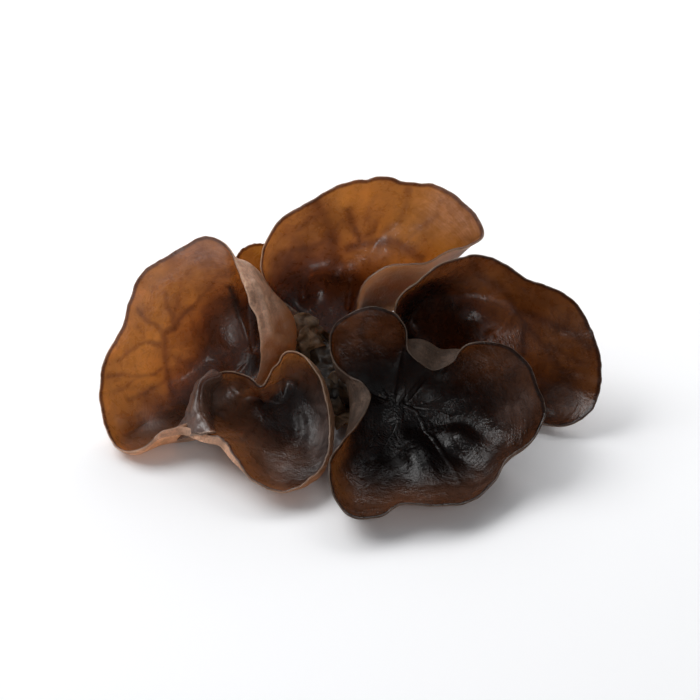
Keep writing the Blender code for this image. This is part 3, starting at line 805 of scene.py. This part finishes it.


# Finish of each ear: colours of the wet inner face where it is thick and where it is thin, the thin one a painted
# backlit glow, colour of the velvety outer face, and how much light the flesh lets through. The pale edge colour is
# partly the rim's own tone and partly a painted highlight.
FINISHES = {
    # The front right ear's low glow and near-black colours are partly its own darker tone and partly painted shade, as
    # it lies on the table with nothing lit behind it.
    "front_right_ear": dict(dark=(0.0015, 0.0012, 0.0012), backlit=(0.085, 0.035, 0.018),
                            velvet=(0.034, 0.022, 0.016), edge=(0.11, 0.09, 0.078),
                            glow=0.20, lit_from=(0.40, 0.85), gloss=0.17, skin=0.42, relief=0.8),
    "front_left_ear": dict(dark=(0.010, 0.005, 0.004), backlit=(0.080, 0.041, 0.025),
                           velvet=(0.080, 0.042, 0.024), edge=(0.20, 0.15, 0.115),
                           glow=0.32, lit_from=(0.08, 0.55), gloss=0.36, skin=0.85, relief=0.6),
    "left_ear": dict(dark=(0.032, 0.017, 0.012), backlit=(0.090, 0.048, 0.026),
                     velvet=(0.235, 0.145, 0.10), edge=(0.28, 0.215, 0.17),
                     glow=0.47, lit_from=(0.08, 0.55), gloss=0.5, skin=1.0, relief=0.36),
    "back_ear": dict(dark=(0.009, 0.005, 0.0045), backlit=(0.075, 0.040, 0.023),
                     velvet=(0.050, 0.032, 0.016), edge=(0.20, 0.165, 0.135),
                     glow=0.45, lit_from=(0.10, 0.60), gloss=0.5, skin=0.95, relief=0.36),
    "right_ear": dict(dark=(0.006, 0.003, 0.002), backlit=(0.055, 0.024, 0.012),
                      velvet=(0.034, 0.022, 0.016), edge=(0.13, 0.105, 0.088),
                      glow=0.22, lit_from=(0.15, 0.60), gloss=0.26, skin=0.7, relief=0.5),
    "small_back_ear": dict(dark=(0.03, 0.010, 0.005), backlit=(0.08, 0.030, 0.012),
                           velvet=(0.10, 0.05, 0.025), edge=(0.12, 0.08, 0.06),
                           glow=0.34, lit_from=(0.08, 0.55), gloss=0.3, skin=1.0, relief=0.36),
    "joining_fold": dict(dark=(0.022, 0.012, 0.010), backlit=(0.090, 0.050, 0.034),
                         velvet=(0.22, 0.14, 0.10), edge=(0.20, 0.15, 0.12),
                         glow=0.20, lit_from=(0.0, 1.0), gloss=0.4, skin=0.8, relief=0.5),
}


def flesh_material(name, group, colours):
    """Wet jelly flesh: a glossy dark face over flesh that lets amber light through."""
    finish = FINISHES[name]
    material = bpy.data.materials.new(name + "_flesh")
    material.use_nodes = True
    tree = material.node_tree
    tree.nodes.clear()
    n = Nodes(tree)
    look = n.add("ShaderNodeGroup", node_tree=group)
    for key in ("share", "side", "vein", "glow", "bare", "cloud"):
        n.feed(look.inputs[key.title()], n.add("ShaderNodeAttribute", attribute_name=key).outputs["Fac"])
    for key in ("dark", "backlit", "velvet", "edge"):
        n.feed(look.inputs[key.title()], (*finish[key], 1))
    for key in ("amber", "deep", "sheen"):
        n.feed(look.inputs[key.title()], (*getattr(colours, key), 1))
    n.feed(look.inputs["Skin"], (*(tone * finish["skin"] for tone in colours.skin), 1))
    bump = n.add("ShaderNodeBump", {"Strength": finish["relief"], "Distance": 0.0004, "Height": look.outputs["Relief"]})
    shader = n.add("ShaderNodeBsdfPrincipled", {
        "Base Color": look.outputs["Surface"], "Roughness": look.outputs["Roughness"],
        "IOR": 1.42, "Specular IOR Level": finish["gloss"], "Coat Weight": look.outputs["Coat"], "Coat Roughness": 0.14,
        "Coat IOR": 1.38, "Normal": bump, "Coat Normal": bump})
    through = n.add("ShaderNodeBsdfTranslucent", {"Color": look.outputs["Through"], "Normal": bump})
    both = n.add("ShaderNodeAddShader", {0: shader, 1: through})
    n.add("ShaderNodeOutputMaterial", {"Surface": both})
    return material


# The fold of flesh that joins the left ear to the left lobe of the front left ear, as
# routes of (turn, share): along the left ear, over the lobe's rim, and in its cup.
JOIN_LEFT = [(128, 0.24), (140, 0.29), (155, 0.31), (172, 0.35), (184, 0.46), (193, 0.66), (200, 0.93)]
JOIN_RIM = [(288, 1.0), (278, 1.0), (268, 1.0), (259, 1.0), (250, 1.0), (240, 1.0), (229, 1.0)]
JOIN_CUP = [(288, 0.88), (278, 0.82), (268, 0.78), (259, 0.76), (250, 0.76), (240, 0.80), (229, 0.86)]
JOIN_GRID = (150, 120)
JOIN_THICKNESS = 0.9
JOIN_RISE = 1.3


def joining_fold(left_sheet, front_sheet, seed):
    """A closed sheet over three curves: across, a quadratic curve that passes a little
    above the middle one; round, a flat oval; lengthways, a superellipse of order 5."""
    spokes, rows = JOIN_GRID
    a = (np.arange(rows) + 1) / (rows + 1)
    curves = []
    for sheet, route in ((left_sheet, JOIN_LEFT), (front_sheet, JOIN_RIM), (front_sheet, JOIN_CUP)):
        line = route_on_sheet(sheet, route)
        at = np.linspace(0.0, 1.0, len(line))
        curves.append(np.stack([np.interp(a, at, line[:, k]) for k in range(3)], axis=-1)[:, None])
    left, crest, cup = curves
    crest = crest + JOIN_RISE * np.array([-0.3, -0.3, 0.9])
    handle = 2 * crest - (left + cup) / 2
    turn = 2 * math.pi * np.arange(spokes) / spokes
    width = (1 - np.abs(2 * a - 1) ** 5) ** 0.2
    t = (0.5 + 0.5 * width[:, None] * np.cos(turn)[None, :])[..., None]
    middle = (1 - t) ** 2 * left + 2 * t * (1 - t) * handle + t ** 2 * cup
    face = np.cross(np.gradient(middle, axis=0), (cup - left) + 0 * middle)
    face /= np.linalg.norm(face, axis=-1, keepdims=True) + 1e-12
    face *= np.sign(face[..., 2].mean())
    middle = middle + face * (0.5 * noise(middle, 4.0, seed) + 0.2 * noise(middle, 1.8, seed + 1))[..., None]
    points = middle + face * (JOIN_THICKNESS / 2 * np.sin(turn) * width[:, None])[..., None]
    points = np.concatenate([points[:1].mean(axis=1), points.reshape(-1, 3), points[-1:].mean(axis=1)])
    side = np.repeat(0.6 * smooth(a, 0.94, 0.985), spokes)
    even = np.ones(len(points))
    across = np.concatenate([[0.5], t.ravel(), [0.5]])
    # The cloud value paints a pale sheen where the fold lies on the left ear, fading towards the cup.
    values = {"share": 0.9 * even, "side": np.concatenate([[0.0], side, [0.6]]), "vein": 0 * even,
              "glow": 0.16 + 0.20 * smooth(across, 0.35, 0.85), "bare": 0 * even,
              "cloud": 0.30 * (1 - smooth(across, 0.25, 0.75))}
    return points, rows, spokes, values


# The pale lip under the rim, from the left ear round to the front left ear.
LIP_LEFT = [(172, 1.0), (180, 1.0), (188, 1.0), (196, 1.0), (202, 1.0)]
LIP_FRONT = [(228, 1.0), (216, 1.0), (204, 1.0), (192, 1.0), (180, 1.0)]
LIP_GRID = (36, 220)
LIP_WIDTH = 2.3
LIP_FALL = (-0.30, -0.55, -0.78)


def joining_lip(left_sheet, front_sheet, seed):
    """A closed band along a smoothed line of rim points. Across, it is a flat oval that
    hangs from the line, and its width goes as sin(pi * a)^0.7 along it."""
    spokes, rows = LIP_GRID
    line = np.concatenate([route_on_sheet(left_sheet, LIP_LEFT), route_on_sheet(front_sheet, LIP_FRONT)])
    gone = np.concatenate([[0.0], np.cumsum(np.linalg.norm(np.diff(line, axis=0), axis=1))])
    at = np.linspace(0.0, gone[-1], 41)
    even = np.stack([np.interp(at, gone, line[:, k]) for k in range(3)], axis=-1)
    for _ in range(3):
        even[1:-1] = (even[:-2] + 2 * even[1:-1] + even[2:]) / 4
    a = (np.arange(rows) + 0.5) / rows
    line = np.stack([np.interp(a, np.linspace(0, 1, 41), even[:, k]) for k in range(3)], axis=-1)
    fall = np.array(LIP_FALL) + 0 * line
    face = np.cross(np.gradient(line, axis=0), fall)
    face /= np.linalg.norm(face, axis=-1, keepdims=True)
    width = LIP_WIDTH * np.sin(math.pi * a) ** 0.7 * (1 + 0.18 * noise(line, 5.0, seed))
    turn = 2 * math.pi * np.arange(spokes)[None, :] / spokes
    middle = line + fall * (0.42 * width)[:, None]
    points = middle[:, None] + fall[:, None] * (0.5 * width[:, None] * np.cos(turn))[..., None]
    points = points + face[:, None] * (0.22 * np.minimum(width, 1.5)[:, None] * np.sin(turn))[..., None]
    points = np.concatenate([middle[:1], points.reshape(-1, 3), middle[-1:]])
    full = np.ones(len(points))
    values = {"share": 0.96 * full, "side": full, "vein": 0 * full, "glow": 0.3 * full,
              "bare": 0.25 * full, "cloud": 0 * full}
    return points, rows, spokes, values


class WoodEarSizes(bpy.types.PropertyGroup):
    """Sizes that a user would change."""
    flesh_thickness: bpy.props.FloatProperty(
        name="Flesh thickness", description="Thickness of an ear in its middle",
        default=0.0013, min=0.0006, max=0.003, unit="LENGTH", precision=4)
    rim_waves: bpy.props.FloatProperty(
        name="Rim waves", description="Height of the small waves along a rim",
        default=0.0003, min=0.0, max=0.002, unit="LENGTH", precision=4)


class WoodEarColours(bpy.types.PropertyGroup):
    """Colours that a user would change."""
    amber: bpy.props.FloatVectorProperty(
        name="Amber", description="Colour of light that comes through thin flesh",
        default=(0.66, 0.265, 0.042), min=0.0, max=1.0, subtype="COLOR")
    deep: bpy.props.FloatVectorProperty(
        name="Deep", description="Colour of light through veins and thick flesh",
        default=(0.56, 0.16, 0.030), min=0.0, max=1.0, subtype="COLOR")
    # Colour of the painted sheen, which stands in for light reflected off the wet face.
    sheen: bpy.props.FloatVectorProperty(
        name="Sheen", description="Colour of the dry haze on the wet face",
        default=(0.40, 0.31, 0.28), min=0.0, max=1.0, subtype="COLOR")
    skin: bpy.props.FloatVectorProperty(
        name="Skin", description="Colour of light through the outer face alone",
        default=(0.60, 0.50, 0.40), min=0.0, max=1.0, subtype="COLOR")



class WOODEAR_OT_ears(bpy.types.Operator):
    """Build the six ears"""
    bl_idname = "woodear.ears"
    bl_label = "Ears"

    def execute(self, context):
        group = flesh_group()
        sizes = context.scene.woodear_sizes
        sheets = {}
        for seed, (name, ear) in enumerate(EARS.items()):
            sheet, points, rows, spokes, values = ear_shell(name, ear, sizes, seed + 1)
            sheets[name] = sheet
            material = flesh_material(name, group, context.scene.woodear_colours)
            piece = add_mesh(name + "_flesh", points, rows, spokes, values, material)
            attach(piece, BODY)
            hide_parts(name)
        material = flesh_material("joining_fold", group, context.scene.woodear_colours)
        for name, shape in (("joining_fold", joining_fold), ("joining_lip", joining_lip)):
            piece = add_mesh(name, *shape(sheets["left_ear"], sheets["front_left_ear"], 50), material)
            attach(piece, BODY)
        return {"FINISHED"}


# The base: the heart it grows from, and how far it reaches to the middle of each ear.
BASE_HEART = (1.0, 3.0, 6.0)
BASE_ROUND = 8.5
BASE_GRID = (220, 120)
BASE_BEHIND_CUP = 1.6
BASE_SHOULDERS = [(-8, 4, 17), (-9, -3, 11), (4, 1, 13)]


def base_surface():
    """The holdfast. The reach from its heart in any direction is a round body plus
    one lobe for every ear, which narrows towards the middle of that ear's cup."""
    spokes, rings = BASE_GRID
    heart = np.array(BASE_HEART)
    level = np.linspace(math.pi / 2, -math.pi / 2, rings + 2)[1:-1, None]
    turn = 2 * math.pi * np.arange(spokes)[None, :] / spokes
    direction = np.stack([np.cos(level) * np.cos(turn), np.cos(level) * np.sin(turn),
                          np.sin(level) + 0 * turn], axis=-1)
    reach = BASE_ROUND + 0 * turn + 0 * level
    for place in [ear["centre"] for ear in EARS.values()] + BASE_SHOULDERS:
        way = np.array(place, float) - heart
        length = np.linalg.norm(way) - BASE_BEHIND_CUP
        angle = np.arccos(np.clip(direction @ (way / np.linalg.norm(way)), -1, 1))
        reach = np.maximum(reach, BASE_ROUND + (length - BASE_ROUND) * np.exp(-(angle / 0.42) ** 2))
    points = heart + direction * reach[..., None]
    points = points + direction * (0.8 * noise(points, 5.0, 40, 3))[..., None]
    folds = np.abs(noise(points, 3.0, 44, 2))
    points = points - direction * (0.6 * folds)[..., None]
    points[..., 2] = np.maximum(points[..., 2], 0.0)
    top = heart + [0, 0, reach[0].mean()]
    bottom = np.array([0.0, 0.0, 0.0])
    points = np.concatenate([[top], points.reshape(-1, 3), [bottom]])
    return points, rings, spokes


# Flaps of torn tissue between the ears, in mm: where each starts and ends, the way
# its width runs, half its width, and how far it bows out.
FLAPS = {
    "pale_flap": ((0, -1, 2), (-8.8, 0.5, 22), (0.8, 0.3, 0.5), 3.4, 2.0),
    "dark_flap": ((-3, 6, 4), (-9.5, 7, 22.5), (0.9, 0.1, 0.4), 6.0, -1.5),
    "low_flap": ((1.5, -7.5, 0.6), (-1.0, -3, 12), (0.95, 0.1, 0.2), 3.2, 0.8),
    "foot_flap": ((1.5, -6, 0.6), (0.5, -16, 2.5), (1, 0, 0), 2.2, 0.5),
}
FLAP_GRID = (96, 90)
FLAP_THICKNESS = 0.4


def flap_surface(start, end, side, half_width, bow, seed):
    """A crumpled flap: a spine bowed by a half sine, with a flat oval section whose
    width goes as sin(pi a)^0.45 and is frayed by noise. Noise crumples it all."""
    spokes, rows = FLAP_GRID
    start, end = np.array(start, float), np.array(end, float)
    side = np.array(side, float)
    along = end - start
    side -= along * (side @ along) / (along @ along)
    side /= np.linalg.norm(side)
    face = np.cross(along, side) / np.linalg.norm(along)
    a = ((np.arange(rows) + 1) / (rows + 1))[:, None, None]
    b = (2 * math.pi * np.arange(spokes) / spokes)[None, :, None]
    middle = start + along * a + side * half_width * np.cos(b) * np.sin(math.pi * a) ** 0.45
    fray = 1 + 0.35 * noise(middle, 2.6, seed, 2)[..., None]
    middle = start + along * a + side * half_width * fray * np.cos(b) * np.sin(math.pi * a) ** 0.45
    middle = middle + face * bow * np.sin(math.pi * a)
    middle = middle + face * (1.5 * noise(middle, 5.0, seed + 5) + 0.5 * noise(middle, 2.0, seed + 6))[..., None]
    thick = FLAP_THICKNESS / 2 * np.sin(b) * np.minimum(1, 12 * np.sin(math.pi * a))
    points = middle + face * thick
    return np.concatenate([[points[0].mean(axis=0)], points.reshape(-1, 3), [points[-1].mean(axis=0)]])


def tissue_material(name, thin, thick, through, share):
    """Torn translucent tissue: two mottled tones, glossy, with light through it."""
    material = bpy.data.materials.new(name)
    material.use_nodes = True
    tree = material.node_tree
    tree.nodes.clear()
    n = Nodes(tree)
    place = n.add("ShaderNodeTexCoord").outputs["Object"]
    tone = n.noise(place, 420.0, 4.0, 0.6, 0.6)
    fine = n.noise(place, 1500.0, 3.0, 0.6)
    height = n.math("ADD", tone, n.math("MULTIPLY", fine, 0.4))
    bump = n.add("ShaderNodeBump", {"Strength": 0.8, "Distance": 0.0005, "Height": height})
    shader = n.add("ShaderNodeBsdfPrincipled", {
        "Base Color": n.mix(n.ramp(tone, 0.35, 0.65), (*thick, 1), (*thin, 1)),
        "Roughness": n.ramp(fine, 0.3, 0.7, 0.3, 0.55), "Normal": bump})
    light = n.add("ShaderNodeBsdfTranslucent", {
        "Color": n.shade((*through, 1), n.ramp(tone, 0.3, 0.7, 0.5, 1.0)), "Normal": bump})
    both = n.add("ShaderNodeMixShader", {0: share, 1: shader, 2: light})
    n.add("ShaderNodeOutputMaterial", {"Surface": both})
    return material


class WOODEAR_OT_base(bpy.types.Operator):
    """Build the base that all ears grow from, and the torn tissue on it"""
    bl_idname = "woodear.base"
    bl_label = "Base"

    def execute(self, context):
        points, rows, spokes = base_surface()
        core = tissue_material("base_flesh", (0.050, 0.028, 0.012), (0.010, 0.006, 0.004),
                               (0.3, 0.15, 0.05), 0.1)
        piece = add_mesh("base_flesh", points, rows, spokes, {}, core)
        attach(piece, BODY)
        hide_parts("base")
        tissue = tissue_material("torn_tissue", (0.24, 0.17, 0.11), (0.07, 0.040, 0.018),
                                 (0.8, 0.45, 0.16), 0.4)
        for seed, (name, flap) in enumerate(FLAPS.items()):
            points = flap_surface(*flap, 60 + seed)
            piece = add_mesh(name, points, FLAP_GRID[1], FLAP_GRID[0], {}, tissue)
            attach(piece, BODY)
        return {"FINISHED"}


# Photograph's view: 32 degrees above the table, 0.49 m away with a 100 mm lens.
CAMERA_ELEVATION = 32.0
CAMERA_DISTANCE = 0.49
CAMERA_TARGET = (0.003, 0.0, 0.016)
CAMERA_LENS = 100.0

# Softboxes: direction they stand in (degrees from +Y towards +X, degrees above the
# table), distance, width and height in metres, and watts.
SOFTBOXES = {
    "left": (-64, 50, 0.9, 0.80, 0.55, 6.8),
    "back": (8, 40, 0.85, 0.9, 0.5, 4.6),
    "front": (168, 22, 0.9, 0.16, 0.66, 2.0),
}
WORLD_STRENGTH = 0.19


def direction_to(turn, rise):
    turn, rise = math.radians(turn), math.radians(rise)
    return Vector((math.sin(turn) * math.cos(rise), math.cos(turn) * math.cos(rise), math.sin(rise)))


def aim(obj, place, target):
    obj.location = place
    obj.rotation_mode = "QUATERNION"
    obj.rotation_quaternion = (Vector(target) - Vector(place)).to_track_quat("-Z", "Y")


class WOODEAR_OT_stage(bpy.types.Operator):
    """Build the floor, the soft light and the camera"""
    bl_idname = "woodear.stage"
    bl_label = "Stage"

    def execute(self, context):
        scene = context.scene
        scene.view_settings.view_transform = "Standard"
        mesh = bpy.data.meshes.new("floor")
        half = 4.0
        mesh.from_pydata([(-half, -half, 0), (half, -half, 0), (half, half, 0), (-half, half, 0)],
                         [], [(0, 1, 2, 3)])
        floor = bpy.data.objects.new("floor", mesh)
        scene.collection.objects.link(floor)
        paper = bpy.data.materials.new("white_table")
        paper.use_nodes = True
        shader = paper.node_tree.nodes["Principled BSDF"]
        shader.inputs["Base Color"].default_value = (0.92, 0.92, 0.93, 1)
        shader.inputs["Roughness"].default_value = 0.6
        shader.inputs["Specular IOR Level"].default_value = 0.1
        mesh.materials.append(paper)

        world = bpy.data.worlds.new("studio")
        scene.world = world
        world.use_nodes = True
        world.node_tree.nodes["Background"].inputs["Color"].default_value = (0.93, 0.96, 1.0, 1)
        world.node_tree.nodes["Background"].inputs["Strength"].default_value = WORLD_STRENGTH
        for name, (turn, rise, distance, width, height, watts) in SOFTBOXES.items():
            data = bpy.data.lights.new(name, "AREA")
            data.shape = "RECTANGLE"
            data.size, data.size_y = width, height
            data.energy = watts
            lamp = bpy.data.objects.new(name, data)
            scene.collection.objects.link(lamp)
            aim(lamp, direction_to(turn, rise) * distance, (0, 0, 0.015))

        data = bpy.data.cameras.new("camera")
        data.lens = CAMERA_LENS
        data.clip_start = 0.01
        data.clip_end = 20.0
        camera = bpy.data.objects.new("camera", data)
        scene.collection.objects.link(camera)
        target = Vector(CAMERA_TARGET)
        aim(camera, target + direction_to(180, CAMERA_ELEVATION) * CAMERA_DISTANCE, target)
        scene.camera = camera
        return {"FINISHED"}


class WOODEAR_PT_panel(bpy.types.Panel):
    """Lists the steps in the 3D view's sidebar"""
    bl_idname = "WOODEAR_PT_panel"
    bl_label = "Wood Ear Mushroom"
    bl_space_type = "VIEW_3D"
    bl_region_type = "UI"
    bl_category = "Wood Ear"

    def draw(self, context):
        layout = self.layout
        for operator in STEPS:
            layout.operator(operator.bl_idname)
        for group in (context.scene.woodear_sizes, context.scene.woodear_colours):
            for key in group.__annotations__:
                layout.prop(group, key)


STEPS = (WOODEAR_OT_ears, WOODEAR_OT_base, WOODEAR_OT_stage)
CLASSES = (WoodEarSizes, WoodEarColours, *STEPS, WOODEAR_PT_panel)


def register():
    for cls in CLASSES:
        bpy.utils.register_class(cls)
    bpy.types.Scene.woodear_sizes = bpy.props.PointerProperty(type=WoodEarSizes)
    bpy.types.Scene.woodear_colours = bpy.props.PointerProperty(type=WoodEarColours)


def unregister():
    del bpy.types.Scene.woodear_colours
    del bpy.types.Scene.woodear_sizes
    for cls in reversed(CLASSES):
        bpy.utils.unregister_class(cls)


def main():
    register()
    bpy.ops.woodear.ears()
    bpy.ops.woodear.base()
    bpy.ops.woodear.stage()


if __name__ == "__main__":
    main()
